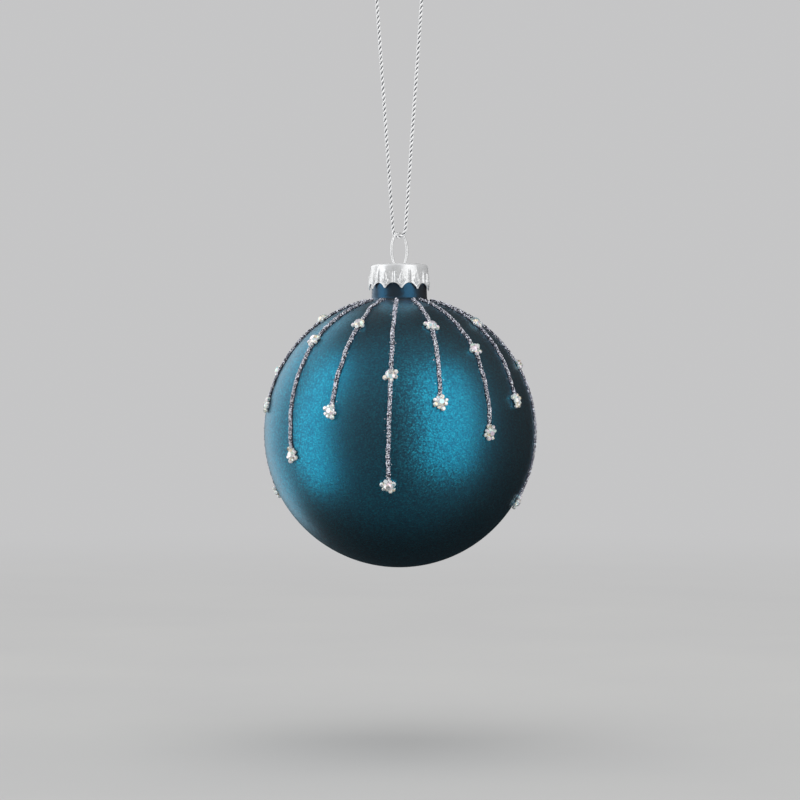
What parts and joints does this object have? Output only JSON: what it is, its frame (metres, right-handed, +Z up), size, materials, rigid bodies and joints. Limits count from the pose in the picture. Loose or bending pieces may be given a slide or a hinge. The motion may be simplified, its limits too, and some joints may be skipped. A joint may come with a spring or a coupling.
{
  "type": "ball ornament",
  "caption": "Hanging glass ball ornament with a crown cap, wire loop and cord, decorated with glitter lines and stone clusters.",
  "frame": {"origin": "hang point, on the inside of the cord loop at its top", "axes": "+Z up along the hanging ornament, +Y along the branch or hook that the loop hangs on, -Y is the front"},
  "size_m": [0.0811, 0.0814, 0.2046],
  "materials": {
    "cord": "twisted metallic cord",
    "wire": "bright drawn wire",
    "cap": "pressed and satin bright",
    "ball": "matt metallic lacquer over silvered glass",
    "glitter": "glitter glue",
    "stones": "faceted, foil-backed, iridescent",
    "beads": "clear, iridescent coating"
  },
  "bodies": {
    "cord_top": {"cord_top_arc": "cord", "cord_knot": "cord"},
    "cord_upper": {"cord_strands": "cord"},
    "cord_lower": {"cord_bight": "cord"},
    "hanger": {"hanger_wire": "wire"},
    "cap": {"crown_cap": "cap"},
    "ball": {"glass_ball": "ball", "glitter_line_01": "glitter", "glitter_line_02": "glitter", "glitter_line_03": "glitter", "glitter_line_04": "glitter", "glitter_line_05": "glitter", "glitter_line_06": "glitter", "glitter_line_07": "glitter", "glitter_line_08": "glitter", "glitter_line_09": "glitter", "glitter_line_10": "glitter", "glitter_line_11": "glitter", "glitter_line_12": "glitter", "glitter_line_13": "glitter", "glitter_line_14": "glitter", "glitter_line_15": "glitter", "glitter_line_16": "glitter", "mid_stones": "stones", "mid_beads": "beads", "end_stones": "stones", "end_beads": "beads"}
  },
  "joints": [
    {"name": "cord_swing", "type": "hinge", "parent": "cord_top", "child": "cord_upper", "pos_m": [0, 0, -0.00775], "axis": [1, 0, 0], "range_deg": [-75, 75]},
    {"name": "cord_twist", "type": "hinge", "parent": "cord_upper", "child": "cord_lower", "pos_m": [0, 0, -0.04759], "axis": [0, 0, 1], "range_deg": [-170, 170]},
    {"name": "loop_rock", "type": "hinge", "parent": "cord_lower", "child": "hanger", "pos_m": [0, 0, -0.0927], "axis": [0.766, 0.6428, 0], "range_deg": [-100, 100]},
    {"name": "cap_tip", "type": "hinge", "parent": "hanger", "child": "cap", "pos_m": [0, 0, -0.10211], "axis": [0.766, 0.6428, 0], "range_deg": [-10, 10]},
    {"name": "ball_pull", "type": "slide", "parent": "cap", "child": "ball", "axis": [0, 0, -1], "range_m": [0, 0.034], "deforming": ["hanger_wire"]}
  ]
}
